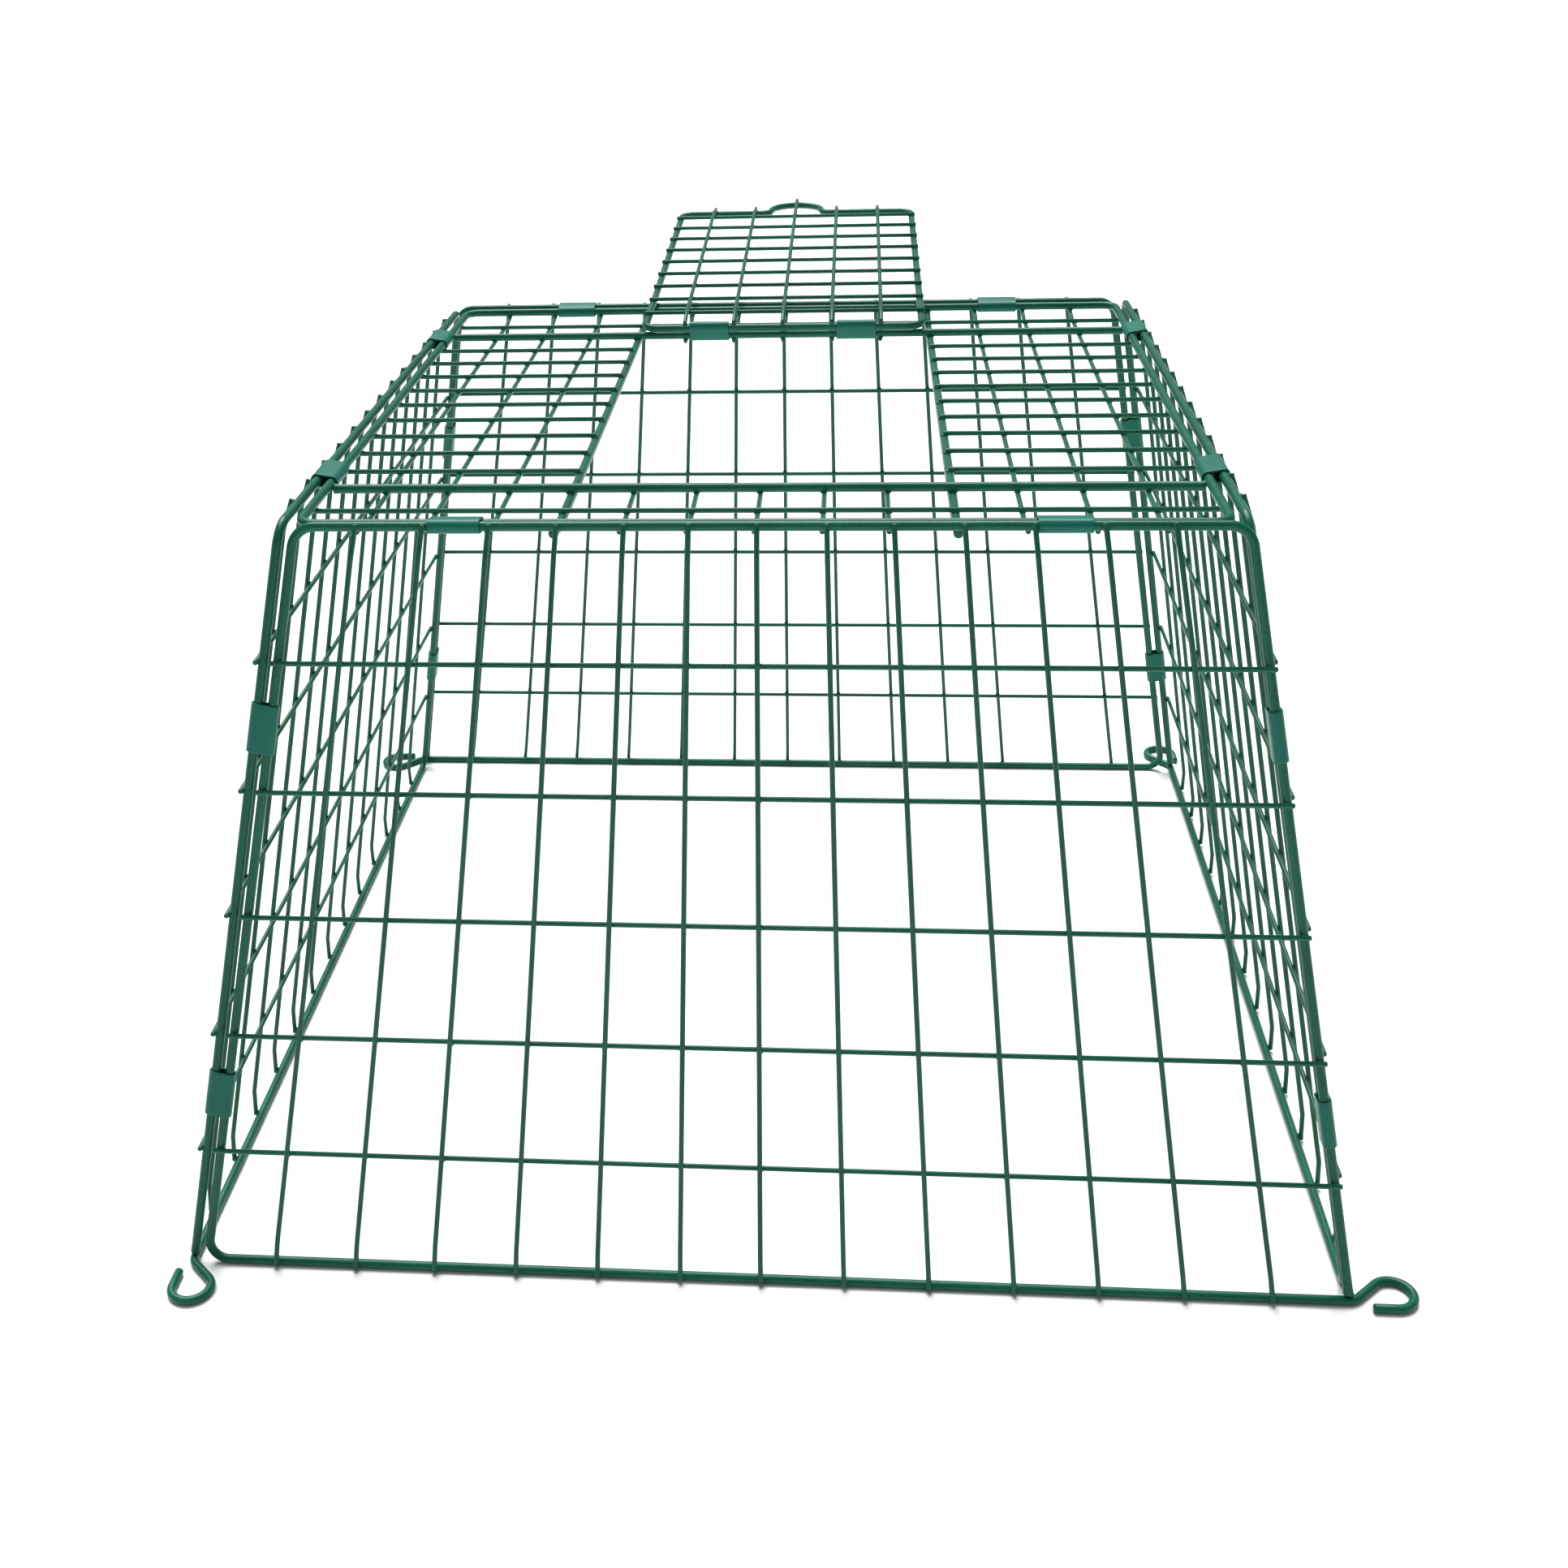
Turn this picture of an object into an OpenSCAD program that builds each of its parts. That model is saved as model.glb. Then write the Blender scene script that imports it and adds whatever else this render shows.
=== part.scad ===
// Open-bottomed wire ground cage: four leaning mesh panels and a mesh roof with a
// hinged hatch lid, joined by sleeve clips. Each panel's bottom wire ends in a peg hook.
// Origin: centre of the base square, on the ground. +Z up, -Y is the front.

/* [Cage] */
// Distance between opposite panels, wire centre to wire centre, on the ground
base_span = 500; // [460:10:560]
// The same distance at the top wires
top_span = 374; // [370:1:382]
// Height of the top wires' upper side above the ground
cage_h = 324; // [260:1:400]

/* [Wire] */
// Diameter of the frame wire
frame_d = 4; // [3.6:0.1:4.2]
// Diameter of the mesh wire
mesh_d = 2.2; // [1.8:0.1:2.4]
// How far two crossing wires sink into each other at a weld
weld_sink = 0.3; // [0.1:0.05:0.5]
// Spacing of the mesh wires in the roof and lid, and at the top of the panels
mesh_pitch = 26.2; // [26:0.1:26.4]
// Spacing of the uprights where they meet the bottom wire
foot_pitch = 35.8; // [34:0.1:37]

/* [Panels] */
// Number of uprights in a panel
uprights = 13; // [13]
// How far the uprights' top ends stand to the right of the middle, seen from outside
head_shift = 2; // [0:0.1:2]
// Number of rows of mesh cells in a panel
rows = 6; // [4:1:8]
// Bend radius of the top corners
top_bend_r = 10; // [6:1:14]
// Bend radius of the closed bottom corner
foot_bend_r = 8; // [6:1:12]

/* [Peg hooks] */
// Bend radius of the eye, to the wire's centre
eye_r = 8.5; // [8:0.5:9]
// Angle by which the wire first swings inwards
hook_swing = 45; // [40:1:50]
// Bend radius of that first swing
swing_r = 8; // [7:1:10]

/* [Roof] */
// Bend radius of the roof frame's corners
roof_bend_r = 7; // [5:1:10]
// How far the panels' top wires stand above the roof frame
roof_drop = 1; // [0.8:0.1:1.2]
// Half the number of mesh spaces across the hatch opening
hatch_half_w = 3; // [3]
// Half the number of mesh spaces along the hatch opening
hatch_half_l = 5; // [5]

/* [Lid] */
// Width of the lid, in mesh spaces
lid_w_spaces = 5.66; // [5.5:0.02:5.7]
// Length of the lid, in mesh spaces
lid_l_spaces = 9.5; // [9.5]
// Bend radius of the lid's corners
lid_bend_r = 8; // [5:1:10]
// Reach of the finger bow beyond the free edge
bow_reach = 21; // [18:1:24]
// Bend radius where the bow leaves the free edge
bow_foot_r = 6; // [4:1:8]
// Upward slope of the lid when it is folded right back
lid_rest_tilt = 3.5; // [3.5:0.1:6]

/* [Clips] */
// Length of a sleeve clip
clip_l = 20.8; // [19:0.1:20.8]
// Wall of a sleeve clip
clip_wall = 0.8; // [0.6:0.1:0.9]
// Distance between the centres of the two wires that a clip holds
pair_pitch = 6; // [5.6:0.1:6.2]

/* [Hidden] */
$fn = 48;
wire_sides = 12;
bend_step = 15;
frame_r = frame_d / 2;
mesh_r = mesh_d / 2;

// Leaning panel: its own X runs to the right seen from outside, Y up the slope, Z outwards
foot_half = base_span / 2;
head_half = top_span / 2;
foot_z = frame_r;
head_z = cage_h - frame_r;
set_in = foot_half - head_half;
rise = head_z - foot_z;
slant = norm([set_in, rise]);
lean = atan2(set_in, rise);
edge_l = norm([set_in, set_in, rise]);
edge_tilt = acos(rise / edge_l);
// Sideways offset that leaves the two wires of a corner edge one pair_pitch apart
edge_gap = pair_pitch / sqrt(1 - pow(set_in / edge_l, 2));
foot_shift = edge_gap / 2;

// Distance from a frame wire's centre to the mesh wire welded on it, and to the one over that
first_layer = frame_r + mesh_r - weld_sink;
second_layer = first_layer + mesh_d - weld_sink;
cross_over = frame_r + 0.5;
kink_run = 12;
kink_r = 10;
upright_over = 1.2;
butt_gap = 0.1;

// Peg hook: start of the swing before the corner, straight before the eye, straight at the tip
hook_back = 1;
hook_run = 11.5;
hook_tail = 10;

// Roof levels
pair_side = sqrt(pow(pair_pitch, 2) - pow(roof_drop, 2));
roof_half = head_half - pair_side;
roof_z = head_z - roof_drop;
cross_z = roof_z - first_layer;
weld_plane = cross_z - mesh_r;
bar_z = weld_plane + frame_r;
thin_z = weld_plane - mesh_r + weld_sink;
edge_z = weld_plane - frame_r + weld_sink;
bar_y = hatch_half_l * mesh_pitch;
edge_x = hatch_half_w * mesh_pitch;
stub_over = 1;
depth_over = frame_r + 0.4;
side_wires = [1, 2, 3];

// Lid and hinge
hinge_back = 2.6;
hinge_up = 4.3;
hinge_y = bar_y - hinge_back;
hinge_z = bar_z + hinge_up;
lid_half_w = lid_w_spaces * mesh_pitch / 2;
lid_l = lid_l_spaces * mesh_pitch;
lid_rows = 9;
lid_columns = 5;
bow_half_w = 22.5;
bow_turn = 2 * atan(bow_reach / bow_half_w);
bow_top_r = bow_half_w / sin(bow_turn) - bow_foot_r;
lid_margin = (lid_l_spaces - lid_rows + 1) / 2 * mesh_pitch;
lid_end_over = 2.6;

// Left-hand roof clip: between a mesh wire of the roof and the upright beyond it
clip_a_at = -((2 * hatch_half_l - 1) * mesh_pitch - head_shift) / 2;
// Right-hand roof clip: between an upright and the roof bar beyond it
clip_b_at = ((2 * hatch_half_l - 1) * mesh_pitch + head_shift + mesh_r - frame_r) / 2;
clip_fit = 0.1;
clip_in_r = frame_r + clip_fit;
clip_out_r = clip_in_r + clip_wall;
corner_clip_rows = [1.5, 4.5];
hinge_clip_x = 1.5 * mesh_pitch;

frame_green = "darkgreen";
mesh_green = "seagreen";
clip_green = "teal";

SIDES = ["front", "right", "back", "left"];
LEVELS = ["lower", "upper"];

function unit(v) = v / norm(v);
function mix(a, b, t) = a + (b - a) * t;
function dir(a) = [cos(a), sin(a)];
function turn_at(a, b, c) = let (p = unit(b - a), q = unit(c - b))
    atan2(p[0] * q[1] - p[1] * q[0], p * q);

// A wire's route is a list of [place, direction] pairs in a plane.
// Stretch round a centre, from place angle a0 on by sweep
function arc_route(centre, r, a0, sweep) = let (n = ceil(abs(sweep) / bend_step))
    [for (j = [0 : n]) let (a = a0 + sweep * j / n) [centre + r * dir(a), dir(a + 90 * sign(sweep))]];

// Bend of radius r at b, coming from a and going on to c
function bend_route(a, b, c, r) = let (
        d = unit(b - a),
        turn = turn_at(a, b, c),
        side = sign(turn) * [-d[1], d[0]],
        start = b - d * r * tan(abs(turn) / 2))
    arc_route(start + r * side, r, atan2(-side[1], -side[0]), turn);

// Whole route through pts, bent to bends[i] at each inner point
function bent_route(pts, bends) = let (n = len(pts))
    [[pts[0], unit(pts[1] - pts[0])],
        for (i = [1 : n - 2]) each bend_route(pts[i - 1], pts[i], pts[i + 1], bends[i - 1]),
        [pts[n - 1], unit(pts[n - 1] - pts[n - 2])]];

// Route lifted into space: plane axes ex and ey at o; each ring is [place, direction, up]
function lifted(route, o, ex, ey) = [for (p = route)
    [o + p[0][0] * ex + p[0][1] * ey, p[1][0] * ex + p[1][1] * ey, cross(ex, ey)]];

// Straight round wire between two points in space
module wire(a, b, r) {
    d = b - a;
    translate(a)
        rotate([0, acos(d[2] / norm(d)), atan2(d[1], d[0])])
            cylinder(h = norm(d), r = r);
}

// Round wire through rings
module bent_wire(rings, r, closed = false) {
    m = len(rings);
    n = wire_sides;
    points = [for (q = rings) for (k = [0 : n - 1]) let (a = 360 * k / n)
        q[0] + r * (cos(a) * cross(q[1], q[2]) + sin(a) * q[2])];
    skin = [for (i = [0 : closed ? m - 1 : m - 2]) for (k = [0 : n - 1])
        let (j = (i + 1) % m, l = (k + 1) % n) [i * n + k, i * n + l, j * n + l, j * n + k]];
    ends = closed ? [] : [[for (k = [n - 1 : -1 : 0]) k], [for (k = [0 : n - 1]) (m - 1) * n + k]];
    polyhedron(points, concat(skin, ends), convexity = 10);
}

// Puts a shape made in a panel's own axes on side k
module on_panel(k) {
    rotate([0, 0, 90 * k])
        translate([0, -foot_half, foot_z])
            rotate([90 - lean, 0, 0])
                children();
}

// Place of upright i along the bottom wire and along the top wire
function foot_x(i) = foot_shift + (i - (uprights + 1) / 2) * foot_pitch;
function head_x(i) = head_shift + (i - (uprights + 1) / 2) * mesh_pitch;
// Ends of the frame at height t, where 0 is the bottom wire and 1 the top wire
function left_x(t) = edge_gap - mix(foot_half, head_half, t);
function right_x(t) = mix(foot_half, head_half, t);

// The bottom wire's end, in ground axes at the corner and followed from its tip:
// it curls round an open eye, then swings back into line with the bottom wire
function hook_route() = let (
        swing_at = [-hook_back, swing_r],
        eye = swing_at + swing_r * dir(hook_swing - 90) + hook_run * dir(hook_swing)
            + eye_r * dir(hook_swing - 90))
    concat(
        [[eye + [-hook_tail, -eye_r], dir(0)]],
        arc_route(eye, eye_r, -90, 180 + hook_swing),
        arc_route(swing_at, swing_r, hook_swing - 90, -hook_swing));

// One bent wire: hook, bottom, left side, top, right side; its end butts on the bottom
module panel_frame(k) {
    route = bent_route(
        [[0, 0], [left_x(0), 0], [left_x(1), slant], [head_half, slant],
            mix([foot_half, 0], [head_half, slant], (frame_d + butt_gap) / slant)],
        [foot_bend_r, top_bend_r, top_bend_r]);
    hook = [for (p = lifted(hook_route(), [foot_half, -foot_half, foot_z], [1, 0, 0], [0, 1, 0]))
        [p[0], p[1], cross([0, 0, 1], p[1])]];
    hoop = lifted([for (i = [1 : len(route) - 1]) route[i]],
        [0, -foot_half, foot_z], [1, 0, 0], [0, sin(lean), cos(lean)]);
    color(frame_green)
        rotate([0, 0, 90 * k])
            bent_wire(concat(hook, hoop), frame_r);
}

// Uprights stand on the outside and bend in to the frame at both ends
module panel_uprights(k) {
    color(mesh_green)
        on_panel(k)
            for (i = [1 : uprights]) {
                foot = [foot_x(i), 0, 0];
                head = [head_x(i), slant, 0];
                run = norm(head - foot);
                route = bent_route(
                    [[first_layer, -upright_over], [first_layer, 0], [second_layer, kink_run],
                        [second_layer, run - kink_run], [first_layer, run], [first_layer, run + upright_over]],
                    [for (j = [1 : 4]) kink_r]);
                bent_wire(lifted(route, foot, [0, 0, 1], unit(head - foot)), mesh_r);
            }
}

module panel_cross_wires(k) {
    color(mesh_green)
        on_panel(k)
            for (j = [1 : rows - 1]) {
                t = j / rows;
                wire([left_x(t) - cross_over, t * slant, first_layer],
                    [right_x(t) + cross_over, t * slant, first_layer], mesh_r);
            }
}

module roof_frame() {
    corners = [for (a = [225, 315, 45, 135]) roof_half * sqrt(2) * dir(a)];
    route = [for (i = [0 : 3])
        each bend_route(corners[(i + 3) % 4], corners[i], corners[(i + 1) % 4], roof_bend_r)];
    color(frame_green)
        bent_wire(lifted(route, [0, 0, roof_z], [1, 0, 0], [0, 1, 0]), frame_r, closed = true);
}

module roof_bar(y) {
    reach = roof_half - frame_r + weld_sink;
    color(frame_green)
        wire([-reach, y, bar_z], [reach, y, bar_z], frame_r);
}

// Thick wire along one side of the hatch opening, welded under the bars and the roof frame
module hatch_edge(x) {
    color(frame_green)
        depth_wire(x, -roof_half, roof_half, edge_z, roof_z - frame_d + weld_sink, frame_r);
}

// Wire along Y under the weld plane; an end at the roof frame kinks up to touch it
module depth_wire(x, y0, y1, z, end_z, r) {
    front = y0 <= -roof_half ? [[y0 - depth_over, end_z], [y0, end_z], [y0 + kink_run, z]] : [[y0, z]];
    rear = y1 >= roof_half ? [[y1 - kink_run, z], [y1, end_z], [y1 + depth_over, end_z]] : [[y1, z]];
    pts = concat(front, rear);
    route = bent_route(pts, [for (i = [2 : len(pts) - 1]) kink_r]);
    bent_wire(lifted(route, [x, 0, 0], [0, 1, 0], [0, 0, 1]), r);
}

module roof_cross_wires() {
    reach = roof_half + cross_over;
    color(mesh_green) {
        for (y = [-(hatch_half_l + 1), hatch_half_l + 1] * mesh_pitch)
            wire([-reach, y, cross_z], [reach, y, cross_z], mesh_r);
        for (j = [1 - hatch_half_l : hatch_half_l - 1])
            for (side = [-1, 1])
                wire([side * (edge_x - stub_over), j * mesh_pitch, cross_z],
                    [side * reach, j * mesh_pitch, cross_z], mesh_r);
    }
}

module roof_depth_wires() {
    end_z = roof_z - first_layer;
    color(mesh_green) {
        for (side = [-1, 1])
            for (i = side_wires)
                depth_wire(side * (edge_x + i * mesh_pitch), -roof_half, roof_half, thin_z, end_z, mesh_r);
        for (i = [1 - hatch_half_w : hatch_half_w - 1]) {
            depth_wire(i * mesh_pitch, -roof_half, depth_over - bar_y, thin_z, end_z, mesh_r);
            depth_wire(i * mesh_pitch, bar_y - depth_over, roof_half, thin_z, end_z, mesh_r);
        }
    }
}

// Lid axes: hinge wire along X at the origin, lid towards -Y, mesh on the lower side
module on_lid() {
    translate([0, hinge_y, hinge_z])
        rotate([lid_rest_tilt - 180, 0, 0])
            children();
}

module lid_frame() {
    w = lid_half_w;
    corners = [[w, 0], [-w, 0], [-w, -lid_l], [w, -lid_l]];
    function corner(i) = bend_route(corners[(i + 3) % 4], corners[i], corners[(i + 1) % 4], lid_bend_r);
    bow_foot = [-bow_half_w, -lid_l - bow_foot_r];
    bow_top = [0, bow_top_r - lid_l - bow_reach];
    top = arc_route(bow_top, bow_top_r, -90 - bow_turn, 2 * bow_turn);
    route = concat(corner(0), corner(1), corner(2),
        arc_route(bow_foot, bow_foot_r, 90, -bow_turn),
        [for (i = [1 : len(top) - 2]) top[i]],
        arc_route([-bow_foot[0], bow_foot[1]], bow_foot_r, 90 + bow_turn, -bow_turn),
        corner(3));
    color(frame_green)
        on_lid()
            bent_wire(lifted(route, [0, 0, 0], [1, 0, 0], [0, 1, 0]), frame_r, closed = true);
}

module lid_cross_wires() {
    reach = lid_half_w + frame_r;
    color(mesh_green)
        on_lid()
            for (j = [0 : lid_rows - 1]) {
                y = -lid_margin - j * mesh_pitch;
                wire([-reach, y, -first_layer], [reach, y, -first_layer], mesh_r);
            }
}

// The middle wire runs on under the finger bow
module lid_depth_wires() {
    color(mesh_green)
        on_lid()
            for (i = [0 : lid_columns - 1]) {
                x = (i - (lid_columns - 1) / 2) * mesh_pitch;
                reach = lid_l + lid_end_over + (x == 0 ? bow_reach : 0);
                route = bent_route(
                    [[0, -first_layer], [-kink_run, -second_layer], [kink_run - lid_l, -second_layer],
                        [-lid_l, -first_layer], [-reach, -first_layer]],
                    [for (j = [1 : 3]) kink_r]);
                bent_wire(lifted(route, [x, 0, 0], [0, 1, 0], [0, 0, 1]), mesh_r);
            }
}

// Oblong sleeve along Z; the first wire is at the origin, the second at pair_pitch along X
module clip() {
    module oblong(r) {
        circle(r = r);
        translate([pair_pitch, 0]) circle(r = r);
        translate([0, -r]) square([pair_pitch, 2 * r]);
    }
    color(clip_green)
        linear_extrude(clip_l, center = true)
            difference() {
                oblong(clip_out_r);
                oblong(clip_in_r);
            }
}

// Holds panel k's top wire and the roof frame, at x along the edge
module roof_clip(k, x) {
    rotate([0, 0, 90 * k])
        translate([x, -roof_half, roof_z])
            rotate([90, 0, 90])
                rotate([0, 0, 180 - atan2(roof_drop, pair_side)])
                    clip();
}

// Holds panel k's right wire and the next panel's left wire, at height t
module corner_clip(k, t) {
    away = 135;
    p = mix([foot_half, -foot_half, foot_z], [head_half, -head_half, head_z], t);
    // Second wire is edge_gap along +Y; the clip's axis follows the wires
    rotate([0, 0, 90 * k])
        translate(p)
            rotate([0, edge_tilt, away])
                rotate([0, 0, atan2(cos(away), cos(edge_tilt) * sin(away))])
                    clip();
}

// Holds the rear bar and, loosely, the lid's hinge wire
module hinge_clip(x) {
    translate([x, bar_y, bar_z])
        rotate([90, 0, 90])
            rotate([0, 0, atan2(hinge_up, -hinge_back)])
                clip();
}

for (k = [0 : 3]) {
    panel_frame(k);
    panel_uprights(k);
    panel_cross_wires(k);
    roof_clip(k, clip_a_at);
    roof_clip(k, clip_b_at);
    for (l = [0, 1])
        corner_clip(k, 1 - corner_clip_rows[1 - l] / rows);
}
roof_frame();
roof_bar(-bar_y);  // roof_bar_front
roof_bar(bar_y);  // roof_bar_rear
hatch_edge(-edge_x);  // hatch_edge_left
hatch_edge(edge_x);  // hatch_edge_right
roof_cross_wires();
roof_depth_wires();
lid_frame();
lid_cross_wires();
lid_depth_wires();
hinge_clip(-hinge_clip_x);  // clip_hinge_left
hinge_clip(hinge_clip_x);  // clip_hinge_right
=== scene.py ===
"""Looks of a coated wire ground cage: bent wires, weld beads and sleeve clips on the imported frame."""
import math
import random
import bpy
from mathutils import Matrix, Vector


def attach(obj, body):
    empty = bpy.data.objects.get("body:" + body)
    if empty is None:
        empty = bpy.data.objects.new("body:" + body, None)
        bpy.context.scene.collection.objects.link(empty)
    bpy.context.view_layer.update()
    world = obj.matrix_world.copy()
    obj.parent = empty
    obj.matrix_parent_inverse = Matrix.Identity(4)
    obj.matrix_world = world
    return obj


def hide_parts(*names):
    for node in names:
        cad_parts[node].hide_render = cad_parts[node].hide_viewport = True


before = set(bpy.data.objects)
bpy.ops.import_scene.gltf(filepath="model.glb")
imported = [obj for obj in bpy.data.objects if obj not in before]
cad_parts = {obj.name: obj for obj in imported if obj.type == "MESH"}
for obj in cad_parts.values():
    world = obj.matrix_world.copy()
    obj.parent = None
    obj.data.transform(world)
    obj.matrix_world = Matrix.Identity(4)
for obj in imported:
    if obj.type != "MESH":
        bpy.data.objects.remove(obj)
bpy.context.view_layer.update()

MM = 0.001

# Cage, as in the frame: half widths at the ground wires and at the top wires
foot_half = 250 * MM
head_half = 187 * MM
foot_z = 2 * MM
head_z = 322 * MM

# Wire
frame_r = 2 * MM
mesh_r = 1.1 * MM
weld_sink = 0.3 * MM
mesh_pitch = 26.2 * MM
foot_pitch = 35.8 * MM
head_shift = 2 * MM
uprights = 13
middle_upright = (uprights + 1) / 2
rows = 6
first_layer = frame_r + mesh_r - weld_sink
second_layer = first_layer + 2 * mesh_r - weld_sink
kink_run = 12 * MM
kink_bend = 10 * MM
upright_over = 1.2 * MM
cross_over = frame_r + 0.5 * MM

# Panels lean in; the two wires of a corner edge stand pair_pitch apart
pair_pitch = 6 * MM
set_in = foot_half - head_half
rise = head_z - foot_z
slant = math.hypot(set_in, rise)
lean = math.atan2(set_in, rise)
edge_l = math.sqrt(2 * set_in ** 2 + rise ** 2)
edge_tilt = math.acos(rise / edge_l)
edge_gap = pair_pitch / math.sqrt(1 - (set_in / edge_l) ** 2)
top_bend = 10 * MM
foot_bend = 8 * MM

# Peg hook
eye_bend = 8.5 * MM
hook_swing = math.radians(45)
swing_bend = 8 * MM
hook_back = 1 * MM
hook_run = 11.5 * MM
hook_tail = 10 * MM

# Roof
roof_drop = 1 * MM
roof_half = head_half - math.sqrt(pair_pitch ** 2 - roof_drop ** 2)
roof_z = head_z - roof_drop
roof_bend = 7 * MM
cross_z = roof_z - first_layer
weld_plane = cross_z - mesh_r
bar_z = weld_plane + frame_r
thin_z = weld_plane - mesh_r + weld_sink
edge_z = weld_plane - frame_r + weld_sink
hatch_half_l = 5
hatch_half_w = 3
bar_y = hatch_half_l * mesh_pitch
edge_x = hatch_half_w * mesh_pitch
depth_over = frame_r + 0.4 * MM
stub_over = 1 * MM

# Lid, in its own axes: hinge wire along X at the origin, lid towards -Y, mesh on the lower side
lid_w_spaces = 5.66
lid_l_spaces = 9.5
lid_half = lid_w_spaces * mesh_pitch / 2
lid_l = lid_l_spaces * mesh_pitch
lid_bend = 8 * MM
lid_rows = 9
lid_columns = 5
lid_margin = (lid_l_spaces - lid_rows + 1) / 2 * mesh_pitch
lid_end_over = 2.6 * MM
bow_reach = 21 * MM
bow_half = 22.5 * MM
bow_foot = 6 * MM
bow_turn = 2 * math.atan(bow_reach / bow_half)
bow_top = bow_half / math.sin(bow_turn) - bow_foot
hinge_back = 2.6 * MM
hinge_up = 4.3 * MM
lid_rest_tilt = math.radians(3.5)

# Sleeve clips
clip_l = 20.8 * MM
clip_wall = 0.8 * MM
clip_in = frame_r + 0.1 * MM
clip_cells = 2 * hatch_half_l - 1
clip_a_at = -(clip_cells * mesh_pitch - head_shift) / 2
clip_b_at = (clip_cells * mesh_pitch + head_shift + mesh_r - frame_r) / 2

# Finish of a wire's ends: (distance from the tip, size of the ring there), both in wire radii
CUT_END = ((0, 0.62), (0.12, 0.86), (0.36, 1))
BUTT_END = ((0, 1.05), (0.4, 1.07), (0.9, 1))
BEND_STEP = math.radians(6)

# Weld beads: half length, half width and half height
SIDE_BEAD = (1.9 * MM, 1.6 * MM, 0.9 * MM)
MESH_BEAD = (1.5 * MM, 1.5 * MM, 0.8 * MM)
THICK_BEAD = (2.4 * MM, 2.4 * MM, 1 * MM)

# Smoothness of the wires: number of sides
FRAME_SIDES = 24
MESH_SIDES = 16

SIDES = ("front", "right", "back", "left")
hand = random.Random(7)


# ---------------------------------------------------------------- wire bending

def start_piece(name):
    """Opens an empty mesh for a new piece."""
    bpy.ops.object.select_all(action="DESELECT")
    piece = bpy.data.objects.new(name, bpy.data.meshes.new(name))
    bpy.context.scene.collection.objects.link(piece)
    bpy.context.view_layer.objects.active = piece
    piece.select_set(True)
    bpy.ops.object.mode_set(mode="EDIT")
    bpy.ops.mesh.select_mode(type="FACE")
    return piece


def end_piece(piece, angle=50):
    """Turns all faces outwards and smooths the piece."""
    bpy.ops.mesh.select_all(action="SELECT")
    bpy.ops.mesh.normals_make_consistent(inside=False)
    bpy.ops.mesh.select_all(action="DESELECT")
    bpy.ops.object.mode_set(mode="OBJECT")
    bpy.ops.object.shade_smooth_by_angle(angle=math.radians(angle))
    return piece


def draw_out(step):
    bpy.ops.mesh.extrude_region_move(TRANSFORM_OT_translate={"value": step})


def lay_wire(radius, corners, bends=(), ends=(CUT_END, CUT_END)):
    """Draws one wire out of a round face along corners, bent to bends[i] at each inner corner."""
    sides = FRAME_SIDES if radius == frame_r else MESH_SIDES
    runs = [(b - a).normalized() for a, b in zip(corners, corners[1:])]
    turns = [a.angle(b) for a, b in zip(runs, runs[1:])]
    takes = [0] + [r * math.tan(t / 2) for r, t in zip(bends, turns)] + [0]
    heading = runs[0]
    place = corners[0].copy()
    tip, last_tip = ends
    bpy.ops.mesh.select_all(action="DESELECT")
    bpy.ops.mesh.primitive_circle_add(
        vertices=sides, radius=radius * tip[0][1], fill_type="NGON",
        location=place, rotation=heading.to_track_quat("Z", "Y").to_euler())
    for (far, size), (near, small) in zip(tip[1:], tip):
        draw_out(heading * radius * (far - near))
        place = place + heading * radius * (far - near)
        bpy.ops.transform.resize(value=[size / small] * 3, center_override=place)
    used = radius * tip[-1][0]
    for i, run in enumerate(runs):
        length = (corners[i + 1] - corners[i]).length - takes[i] - takes[i + 1] - used
        if i == len(runs) - 1:
            length -= radius * last_tip[-1][0]
        used = 0
        if length > 0.01 * MM:
            draw_out(run * length)
            place = place + run * length
        if i < len(turns):
            axis = run.cross(runs[i + 1]).normalized()
            centre = place + axis.cross(run) * bends[i]
            steps = max(2, math.ceil(turns[i] / BEND_STEP))
            bpy.ops.mesh.spin(steps=steps, angle=-turns[i], center=centre, axis=axis)
            place = centre + Matrix.Rotation(turns[i], 3, axis) @ (place - centre)
    heading = runs[-1]
    for (far, size), (near, small) in zip(last_tip[-2::-1], last_tip[:0:-1]):
        draw_out(heading * radius * abs(near - far))
        place = place + heading * radius * abs(near - far)
        bpy.ops.transform.resize(value=[size / small] * 3, center_override=place)


def arc_corners(centre, radius, start, sweep, parts):
    """Corners in the XY plane that, bent to radius, give an arc round centre."""
    step = sweep / parts
    reach = radius / math.cos(step / 2)
    angles = [start + step * (i + 0.5) for i in range(parts)]
    return [centre + reach * Vector((math.cos(a), math.sin(a), 0)) for a in angles]


def bead(place, along, normal, length, width, height):
    """Rounds out the coating that fills the nooks where two wires cross."""
    across = normal.cross(along)
    turn = Matrix((along, across, normal)).transposed().to_euler()
    bpy.ops.mesh.primitive_ico_sphere_add(
        subdivisions=2, radius=1, location=place, rotation=turn, scale=(length, width, height))


def stray(size):
    """A little unevenness, as left by a welding jig."""
    return hand.uniform(-size, size)


# ---------------------------------------------------------------- side panels

UP_SLOPE = Vector((0, math.sin(lean), math.cos(lean)))
OUTWARD = Vector((0, -math.cos(lean), math.sin(lean)))
RIGHT = Vector((1, 0, 0))


def mix(a, b, t):
    return a + (b - a) * t


def on_panel(right, up, out):
    """A point of the front panel: to the right, up the slope and outwards."""
    return Vector((0, -foot_half, foot_z)) + RIGHT * right + UP_SLOPE * up + OUTWARD * out


def foot_x(i):
    return edge_gap / 2 + (i - middle_upright) * foot_pitch


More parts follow.
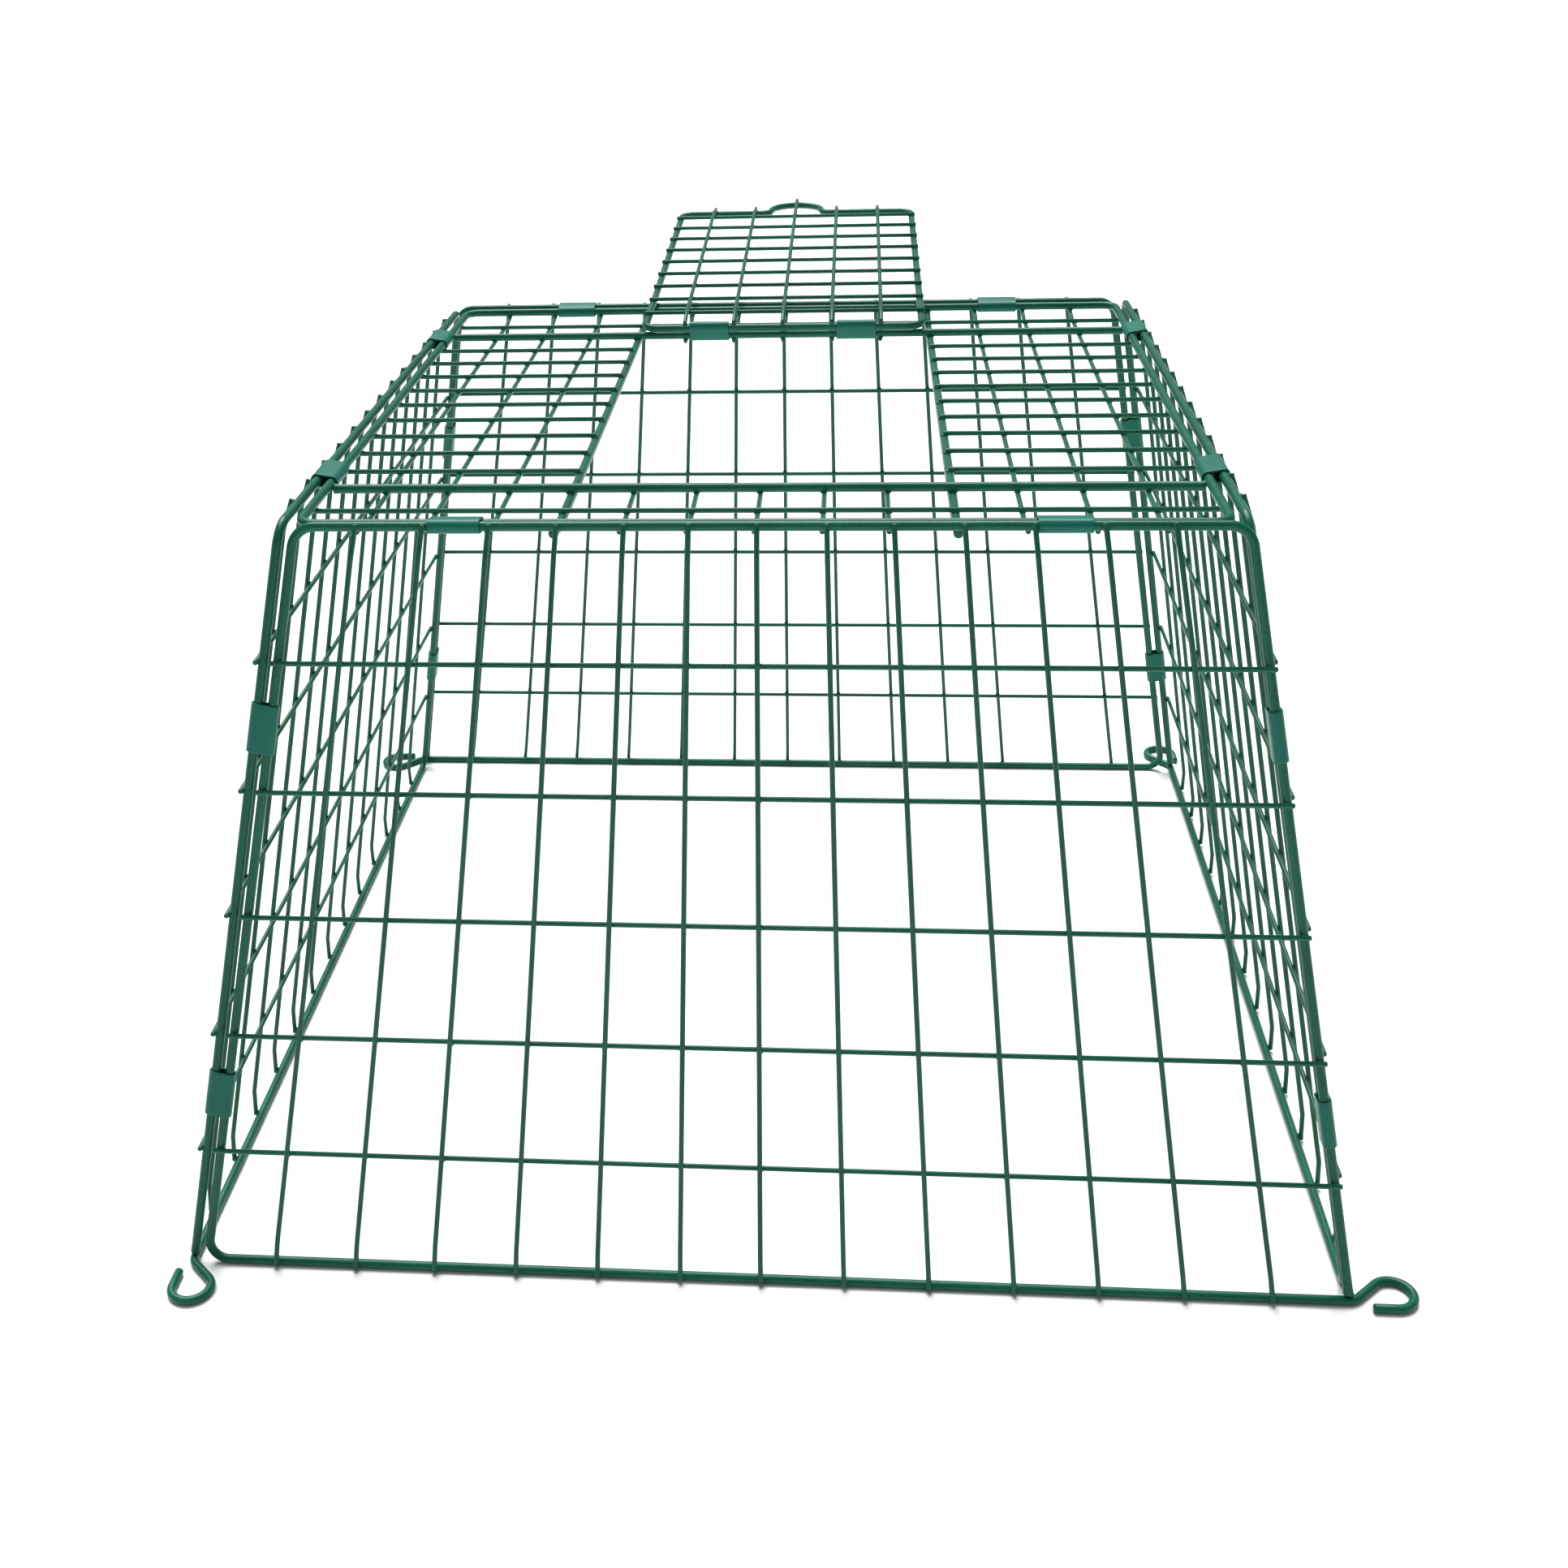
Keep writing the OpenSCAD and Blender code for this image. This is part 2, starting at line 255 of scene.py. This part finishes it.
def head_x(i):
    return head_shift + (i - middle_upright) * mesh_pitch


def left_x(t):
    return edge_gap - mix(foot_half, head_half, t)


def right_x(t):
    return mix(foot_half, head_half, t)


def make_panel_frame():
    piece = start_piece("front_hoop")
    corner = Vector((foot_half, -foot_half, foot_z))
    swing_at = Vector((-hook_back, swing_bend, 0))
    aside = Vector((math.sin(hook_swing), -math.cos(hook_swing), 0))
    along = Vector((math.cos(hook_swing), math.sin(hook_swing), 0))
    eye = swing_at + aside * swing_bend + along * hook_run + aside * eye_bend
    curl = arc_corners(eye, eye_bend, math.radians(-90), math.pi + hook_swing, 3)
    swing = arc_corners(swing_at, swing_bend, hook_swing - math.pi / 2, -hook_swing, 1)
    tip = eye + Vector((-hook_tail, -eye_bend, 0))
    hook = [corner + step for step in [tip] + curl + swing]
    foot_end = (2 * frame_r - weld_sink) / slant
    hoop = [on_panel(left_x(0), 0, 0), on_panel(left_x(1), slant, 0), on_panel(head_half, slant, 0),
            mix(on_panel(foot_half, 0, 0), on_panel(head_half, slant, 0), foot_end)]
    lay_wire(frame_r, hook + hoop, [eye_bend] * 3 + [swing_bend, foot_bend, top_bend, top_bend],
             ends=(CUT_END, BUTT_END))
    return end_piece(piece)


def make_uprights():
    piece = start_piece("front_uprights_wire")
    for i in range(1, uprights + 1):
        by_clip = i in (2, 3, 11, 12)
        foot = Vector((foot_x(i) + stray(0.6 * MM), 0))
        head = Vector((head_x(i) + stray(0.1 * MM if by_clip else 0.6 * MM), slant))
        along = (head - foot).normalized()
        run = (head - foot).length
        levels = [(-upright_over + stray(0.4 * MM), first_layer), (0, first_layer),
                  (kink_run, second_layer),
                  (run - kink_run, second_layer), (run, first_layer),
                  (run + upright_over + stray(0.4 * MM), first_layer)]
        corners = [on_panel(*(foot + along * s), n) for s, n in levels]
        lay_wire(mesh_r, corners, [kink_bend] * 4)
    return end_piece(piece)


def make_panel_cross_wires():
    piece = start_piece("front_cross_wire_set")
    for j in range(1, rows):
        t = j / rows
        up = t * slant + stray(0.3 * MM)
        lay_wire(mesh_r, [on_panel(left_x(t) - cross_over, up, first_layer),
                          on_panel(right_x(t) + cross_over, up, first_layer)])
    return end_piece(piece)


def make_panel_welds():
    piece = start_piece("front_weld_beads")
    on_frame = frame_r - weld_sink / 2
    on_mesh = first_layer + mesh_r - weld_sink / 2
    for j in range(1, rows):
        t = j / rows
        for x in (left_x(t), right_x(t)):
            bead(on_panel(x, t * slant, on_frame), RIGHT, OUTWARD, *SIDE_BEAD)
        for i in range(1, uprights + 1):
            x = mix(foot_x(i), head_x(i), t)
            bead(on_panel(x, t * slant, on_mesh), RIGHT, OUTWARD, *MESH_BEAD)
    for i in range(1, uprights + 1):
        for x, up in ((foot_x(i), 0), (head_x(i), slant)):
            bead(on_panel(x, up, on_frame), RIGHT, OUTWARD, 1.6 * MM, 1.7 * MM, 0.9 * MM)
    side_run = (on_panel(head_half, slant, 0) - on_panel(foot_half, 0, 0)).normalized()
    butt = on_panel(foot_half, 0, 0) + side_run * (2 * frame_r - 0.5 * MM)
    bead(butt, RIGHT, side_run, 2.35 * MM, 2.1 * MM, 0.9 * MM)
    return end_piece(piece)


# ---------------------------------------------------------------- roof

def make_ring(name, radius, corners, bend_radius):
    """A closed hoop, butt welded in the middle of its first side."""
    piece = start_piece(name)
    middle = (corners[0] + corners[-1]) / 2
    lay_wire(radius, [middle] + corners + [middle], [bend_radius] * len(corners), ends=(BUTT_END, BUTT_END))
    return end_piece(piece)


def make_roof_frame():
    h = roof_half
    corners = [Vector((x, y, roof_z)) for x, y in ((h, h), (h, -h), (-h, -h), (-h, h))]
    return make_ring("roof_hoop", frame_r, corners, roof_bend)


def make_roof_bar(name, y):
    piece = start_piece(name)
    reach = roof_half - frame_r + weld_sink
    lay_wire(frame_r, [Vector((-reach, y, bar_z)), Vector((reach, y, bar_z))], ends=(BUTT_END, BUTT_END))
    return end_piece(piece)


def lay_depth_wire(radius, x, y0, y1, z, end_z):
    """A wire from front to rear under the roof; it kinks up wherever it ends at the roof frame."""
    front = [(y0 - depth_over, end_z), (y0, end_z), (y0 + kink_run, z)] if y0 <= -roof_half else [(y0, z)]
    rear = [(y1 - kink_run, z), (y1, end_z), (y1 + depth_over, end_z)] if y1 >= roof_half else [(y1, z)]
    corners = [Vector((x, y, level)) for y, level in front + rear]
    lay_wire(radius, corners, [kink_bend] * (len(corners) - 2))


def make_hatch_edge(name, x):
    piece = start_piece(name)
    lay_depth_wire(frame_r, x, -roof_half, roof_half, edge_z, roof_z - 2 * frame_r + weld_sink)
    return end_piece(piece)


def make_roof_depth_wires():
    piece = start_piece("roof_depth_wire_set")
    end_z = roof_z - first_layer
    for side in (-1, 1):
        for i in (1, 2, 3):
            x = side * (edge_x + i * mesh_pitch) + stray(0.15 * MM)
            lay_depth_wire(mesh_r, x, -roof_half, roof_half, thin_z, end_z)
    for i in range(-2, 3):
        x = i * mesh_pitch + stray(0.3 * MM)
        lay_depth_wire(mesh_r, x, -roof_half, depth_over - bar_y, thin_z, end_z)
        lay_depth_wire(mesh_r, x, bar_y - depth_over, roof_half, thin_z, end_z)
    return end_piece(piece)


def make_roof_cross_wires():
    piece = start_piece("roof_cross_wire_set")
    reach = roof_half + cross_over
    for y in (-6 * mesh_pitch, 6 * mesh_pitch):
        lay_wire(mesh_r, [Vector((-reach, y, cross_z)), Vector((reach, y, cross_z))])
    for j in range(-4, 5):
        for side in (-1, 1):
            y = j * mesh_pitch + (0 if abs(j) == 4 else stray(0.3 * MM))
            inner = side * (edge_x - stub_over + stray(0.5 * MM))
            lay_wire(mesh_r, [Vector((inner, y, cross_z)), Vector((side * reach, y, cross_z))])
    return end_piece(piece)


def make_roof_welds():
    piece = start_piece("roof_weld_beads")
    down = Vector((0, 0, -1))
    under_frame = roof_z - frame_r + weld_sink / 2
    under_cross = weld_plane + weld_sink / 2
    thin_x = [side * (edge_x + i * mesh_pitch) for side in (-1, 1) for i in (1, 2, 3)]
    middle_x = [i * mesh_pitch for i in range(-2, 3)]
    for j in list(range(-4, 5)) + [-6, 6]:
        y = j * mesh_pitch
        for side in (-1, 1):
            bead(Vector((side * roof_half, y, under_frame)), RIGHT, down, *SIDE_BEAD)
            bead(Vector((side * edge_x, y, under_cross)), RIGHT, down, *SIDE_BEAD)
        for x in thin_x + (middle_x if abs(j) == 6 else []):
            bead(Vector((x, y, under_cross)), RIGHT, down, *MESH_BEAD)
    for side in (-1, 1):
        for x in thin_x + middle_x:
            bead(Vector((x, side * roof_half, under_frame)), RIGHT, down, 1.6 * MM, 1.9 * MM, 0.9 * MM)
            bead(Vector((x, side * bar_y, under_cross)), RIGHT, down, 1.6 * MM, 1.9 * MM, 0.9 * MM)
        for x in (-edge_x, edge_x):
            bead(Vector((x, side * roof_half, under_frame)), RIGHT, down, *THICK_BEAD)
            bead(Vector((x, side * bar_y, under_cross)), RIGHT, down, *THICK_BEAD)
        for end in (-1, 1):
            seat = Vector((end * (roof_half - frame_r), side * bar_y, bar_z + 0.3 * MM))
            bead(seat, Vector((0, 1, 0)), RIGHT * end, 2.35 * MM, 2.2 * MM, 0.8 * MM)
    return end_piece(piece)


# ---------------------------------------------------------------- lid

def make_lid_frame():
    """One hoop with a finger bow in its free edge, butt welded in the hinge side."""
    piece = start_piece("lid_hoop")
    w = lid_half
    edge = -lid_l
    foot_l = arc_corners(Vector((-bow_half, edge - bow_foot, 0)), bow_foot, math.pi / 2, -bow_turn, 1)
    top = arc_corners(Vector((0, bow_top + edge - bow_reach, 0)), bow_top,
                      -math.pi / 2 - bow_turn, 2 * bow_turn, 2)
    foot_r = [Vector((-p.x, p.y, p.z)) for p in foot_l]
    corners = ([Vector((0, 0, 0)), Vector((-w, 0, 0)), Vector((-w, edge, 0))] + foot_l + top + foot_r
               + [Vector((w, edge, 0)), Vector((w, 0, 0)), Vector((0, 0, 0))])
    bends = [lid_bend, lid_bend, bow_foot, bow_top, bow_top, bow_foot, lid_bend, lid_bend]
    lay_wire(frame_r, corners, bends, ends=(BUTT_END, BUTT_END))
    return end_piece(piece)


def make_lid_cross_wires():
    piece = start_piece("lid_cross_wire_set")
    reach = lid_half + frame_r
    for j in range(lid_rows):
        y = -lid_margin - j * mesh_pitch + stray(0.3 * MM)
        lay_wire(mesh_r, [Vector((-reach, y, -first_layer)), Vector((reach, y, -first_layer))])
    return end_piece(piece)


def make_lid_depth_wires():
    piece = start_piece("lid_depth_wire_set")
    for i in range(lid_columns):
        x = (i - 2) * mesh_pitch
        reach = lid_l + lid_end_over + (bow_reach if i == 2 else stray(0.5 * MM))
        levels = [(0, first_layer), (kink_run, second_layer), (lid_l - kink_run, second_layer),
                  (lid_l, first_layer), (reach, first_layer)]
        lay_wire(mesh_r, [Vector((x, -y, -z)) for y, z in levels], [kink_bend] * 3)
    return end_piece(piece)


def make_lid_welds():
    piece = start_piece("lid_weld_beads")
    down = Vector((0, 0, -1))
    on_frame = weld_sink / 2 - frame_r
    on_cross = -first_layer - mesh_r + weld_sink / 2
    columns = [(i - 2) * mesh_pitch for i in range(lid_columns)]
    for j in range(lid_rows):
        y = -lid_margin - j * mesh_pitch
        for x in (-lid_half, lid_half):
            bead(Vector((x, y, on_frame)), RIGHT, down, *SIDE_BEAD)
        for x in columns:
            bead(Vector((x, y, on_cross)), RIGHT, down, *MESH_BEAD)
    for x in columns:
        bead(Vector((x, -0.3 * MM, on_frame)), RIGHT, down, 1.6 * MM, 1.5 * MM, 0.9 * MM)
        far = lid_l + (bow_reach if x == 0 else 0)
        bead(Vector((x, -far, on_frame)), RIGHT, down, 1.6 * MM, 1.8 * MM, 0.9 * MM)
    return end_piece(piece)


# ---------------------------------------------------------------- clips

def make_clip():
    """A sheet sleeve pressed oblong: one rounded end round the origin, the other pair_pitch along X."""
    piece = start_piece("clip")
    bpy.ops.mesh.select_mode(type="VERT")
    bpy.ops.mesh.primitive_circle_add(vertices=48, radius=clip_in, location=(0, 0, -clip_l / 2))
    bpy.ops.mesh.select_all(action="DESELECT")
    bpy.ops.object.mode_set(mode="OBJECT")
    for v in piece.data.vertices:
        v.select = v.co.x > 1e-6
    bpy.ops.object.mode_set(mode="EDIT")
    bpy.ops.transform.translate(value=(pair_pitch, 0, 0))
    bpy.ops.mesh.select_all(action="SELECT")
    for share in (0.04, 0.46, 0.46, 0.04):
        draw_out((0, 0, clip_l * share))
    end_piece(piece, 30)
    wall = piece.modifiers.new("wall", "SOLIDIFY")
    wall.thickness = clip_wall
    wall.offset = 1
    wall.use_even_offset = True
    lip = piece.modifiers.new("lip", "BEVEL")
    lip.width = 0.22 * MM
    lip.segments = 3
    lip.angle_limit = math.radians(40)
    bpy.ops.object.modifier_apply(modifier="wall")
    bpy.ops.object.modifier_apply(modifier="lip")
    bpy.ops.object.shade_smooth_by_angle(angle=math.radians(35))
    return piece


# ---------------------------------------------------------------- finishes

def coated_finish(name, deep, light, roughness, grain, grain_depth):
    """Dipped coating: two greens in soft drifts, a fine pebbled skin and slightly uneven gloss."""
    mat = bpy.data.materials.new(name)
    mat.use_nodes = True
    nodes, links = mat.node_tree.nodes, mat.node_tree.links
    shader = nodes["Principled BSDF"]
    shader.inputs["IOR"].default_value = 1.48
    shader.inputs["Specular IOR Level"].default_value = 0.24
    where = nodes.new("ShaderNodeTexCoord")

    def noise(scale, detail):
        n = nodes.new("ShaderNodeTexNoise")
        n.inputs["Scale"].default_value = scale
        n.inputs["Detail"].default_value = detail
        links.new(where.outputs["Object"], n.inputs["Vector"])
        return n

    drift = noise(22, 3)
    skin = noise(grain, 4)
    tint = nodes.new("ShaderNodeValToRGB")
    tint.color_ramp.elements[0].position = 0.32
    tint.color_ramp.elements[0].color = (*deep, 1)
    tint.color_ramp.elements[1].position = 0.7
    tint.color_ramp.elements[1].color = (*light, 1)
    links.new(drift.outputs["Fac"], tint.inputs["Fac"])
    fleck = nodes.new("ShaderNodeMix")
    fleck.data_type = "RGBA"
    fleck.blend_type = "MULTIPLY"
    fleck.inputs["Factor"].default_value = 0.35
    fleck_ramp = nodes.new("ShaderNodeValToRGB")
    fleck_ramp.color_ramp.elements[0].position = 0.35
    fleck_ramp.color_ramp.elements[0].color = (0.5, 0.5, 0.5, 1)
    fleck_ramp.color_ramp.elements[1].position = 0.6
    links.new(skin.outputs["Fac"], fleck_ramp.inputs["Fac"])
    links.new(tint.outputs["Color"], fleck.inputs["A"])
    links.new(fleck_ramp.outputs["Color"], fleck.inputs["B"])
    links.new(fleck.outputs["Result"], shader.inputs["Base Color"])
    gloss = nodes.new("ShaderNodeMapRange")
    gloss.inputs["To Min"].default_value = roughness - 0.06
    gloss.inputs["To Max"].default_value = roughness + 0.08
    links.new(noise(260, 3).outputs["Fac"], gloss.inputs["Value"])
    links.new(gloss.outputs["Result"], shader.inputs["Roughness"])
    bump = nodes.new("ShaderNodeBump")
    bump.inputs["Strength"].default_value = 0.5
    bump.inputs["Distance"].default_value = grain_depth
    links.new(skin.outputs["Fac"], bump.inputs["Height"])
    links.new(bump.outputs["Normal"], shader.inputs["Normal"])
    return mat


frame_coat = coated_finish(
    "frame_wire_coat", (0.001, 0.092, 0.053), (0.004, 0.122, 0.074),
    0.32, 900, 0.00012)
mesh_coat = coated_finish(
    "mesh_wire_coat", (0.002, 0.088, 0.046), (0.006, 0.115, 0.063),
    0.34, 1100, 0.0001)
clip_coat = coated_finish(
    "clip_coat", (0.001, 0.118, 0.082), (0.003, 0.148, 0.105),
    0.38, 1500, 0.00014)


# ---------------------------------------------------------------- assembly

def place(piece, matrix):
    """Moves a piece by its mesh, so that its object stays at the origin."""
    piece.data.transform(matrix)
    return piece


def copy_of(piece, name):
    twin = piece.copy()
    twin.data = piece.data.copy()
    twin.name = name
    twin.data.name = name
    bpy.context.scene.collection.objects.link(twin)
    return twin


def fit(piece, coat, slot, body, *stands_for):
    piece.data.materials.clear()
    piece.data.materials.append(coat)
    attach(piece, body)
    if stands_for:
        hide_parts(*stands_for)


def build_panels():
    kit = ((make_panel_frame(), "hoop", frame_coat, "frame_wire", "frame"),
           (make_uprights(), "upright_wires", mesh_coat, "mesh_wire", "uprights"),
           (make_panel_cross_wires(), "cross_wire_set", mesh_coat, "mesh_wire", "cross_wires"),
           (make_panel_welds(), "weld_beads", mesh_coat, "mesh_wire", None))
    for k, side in enumerate(SIDES):
        turn = Matrix.Rotation(math.pi / 2 * k, 4, "Z")
        for model, word, coat, slot, node in kit:
            piece = place(copy_of(model, f"{side}_panel_{word}"), turn)
            fit(piece, coat, slot, "cage", *([f"{side}_{node}"] if node else []))
    for model, *_ in kit:
        bpy.data.objects.remove(model)


def build_roof():
    fit(make_roof_frame(), frame_coat, "frame_wire", "cage", "roof_frame")
    fit(make_roof_bar("front_bar", -bar_y), frame_coat, "frame_wire", "cage", "roof_bar_front")
    fit(make_roof_bar("rear_bar", bar_y), frame_coat, "frame_wire", "cage", "roof_bar_rear")
    fit(make_hatch_edge("hatch_edge_wire_left", -edge_x),
        frame_coat, "frame_wire", "cage", "hatch_edge_left")
    fit(make_hatch_edge("hatch_edge_wire_right", edge_x),
        frame_coat, "frame_wire", "cage", "hatch_edge_right")
    fit(make_roof_cross_wires(), mesh_coat, "mesh_wire", "cage", "roof_cross_wires")
    fit(make_roof_depth_wires(), mesh_coat, "mesh_wire", "cage", "roof_depth_wires")
    fit(make_roof_welds(), mesh_coat, "mesh_wire", "cage")


def build_lid():
    """The lid is made flat, then swung to rest folded right back over its hinge."""
    folded = (Matrix.Translation((0, bar_y - hinge_back, bar_z + hinge_up))
              @ Matrix.Rotation(lid_rest_tilt - math.pi, 4, "X"))
    fit(place(make_lid_frame(), folded), frame_coat, "frame_wire", "lid", "lid_frame")
    fit(place(make_lid_cross_wires(), folded), mesh_coat, "mesh_wire", "lid", "lid_cross_wires")
    fit(place(make_lid_depth_wires(), folded), mesh_coat, "mesh_wire", "lid", "lid_depth_wires")
    fit(place(make_lid_welds(), folded), mesh_coat, "mesh_wire", "lid")


def build_clips():
    model = make_clip()
    lengthways = Matrix.Rotation(math.pi / 2, 4, "X")
    to_x = Matrix.Rotation(math.pi / 2, 4, "Z") @ lengthways

    def add(node, matrix):
        fit(place(copy_of(model, node + "_sleeve"), matrix), clip_coat, "clip_sleeve", "cage", node)

    for k, side in enumerate(SIDES):
        turn = Matrix.Rotation(math.pi / 2 * k, 4, "Z")
        roof_tip = Matrix.Rotation(math.pi - math.asin(roof_drop / pair_pitch), 4, "Z")
        for end, x in (("a", clip_a_at), ("b", clip_b_at)):
            spot = Matrix.Translation((x, -roof_half, roof_z))
            add(f"clip_roof_{side}_{end}", turn @ spot @ to_x @ roof_tip)
        away = math.radians(135)
        twist = math.atan2(math.cos(away), math.cos(edge_tilt) * math.sin(away))
        along = (Matrix.Rotation(away, 4, "Z") @ Matrix.Rotation(edge_tilt, 4, "Y")
                 @ Matrix.Rotation(twist, 4, "Z"))
        for level, row in (("lower", 4.5), ("upper", 1.5)):
            spot = mix(Vector((foot_half, -foot_half, foot_z)), Vector((head_half, -head_half, head_z)),
                       1 - row / rows)
            add(f"clip_corner_{side}_{level}", turn @ Matrix.Translation(spot) @ along)
    hinge_tip = Matrix.Rotation(math.atan2(hinge_up, -hinge_back), 4, "Z")
    for side, x in (("left", -1.5 * mesh_pitch), ("right", 1.5 * mesh_pitch)):
        add(f"clip_hinge_{side}", Matrix.Translation((x, bar_y, bar_z)) @ to_x @ hinge_tip)
    bpy.data.objects.remove(model)


# ---------------------------------------------------------------- studio

def build_studio():
    bpy.ops.mesh.primitive_plane_add(size=60, location=(0, 12, 0))
    floor = bpy.context.object
    floor.name = "floor"
    paper = bpy.data.materials.new("white_paper")
    paper.use_nodes = True
    shader = paper.node_tree.nodes["Principled BSDF"]
    shader.inputs["Base Color"].default_value = (0.93, 0.93, 0.93, 1)
    shader.inputs["Roughness"].default_value = 0.9
    shader.inputs["Specular IOR Level"].default_value = 0.1
    floor.data.materials.append(paper)

    world = bpy.data.worlds.new("studio")
    world.use_nodes = True
    world.node_tree.nodes["Background"].inputs["Color"].default_value = (1, 1, 1, 1)
    world.node_tree.nodes["Background"].inputs["Strength"].default_value = 0.28
    bpy.context.scene.world = world
    bpy.context.scene.view_settings.view_transform = "Standard"

    light = bpy.data.lights.new("skylight", "SUN")
    light.energy = 5.4
    light.angle = math.radians(45)
    lamp = bpy.data.objects.new("skylight", light)
    lamp.rotation_euler = Vector((-0.12, 0.46, 0.88)).to_track_quat("Z", "Y").to_euler()
    bpy.context.scene.collection.objects.link(lamp)


def set_camera():
    """Stands above and in front of the cage, a little to its right, turned and rolled slightly."""
    yaw, pitch, roll = math.radians(-6.19), math.radians(27.14), math.radians(2.14)
    camera = bpy.data.cameras.new("camera")
    camera.sensor_width = 36
    camera.lens = 42.29
    camera.shift_x = 0.0738
    stand = bpy.data.objects.new("camera", camera)
    stand.location = (0.0367, -0.8618, 0.5579)
    aim = (Matrix.Rotation(-yaw, 4, "Z") @ Matrix.Rotation(math.pi / 2 - pitch, 4, "X")
           @ Matrix.Rotation(-roll, 4, "Z"))
    stand.rotation_euler = aim.to_euler()
    bpy.context.scene.collection.objects.link(stand)
    bpy.context.scene.camera = stand


bpy.context.preferences.edit.use_global_undo = False
build_panels()
build_roof()
build_lid()
build_clips()
build_studio()
set_camera()
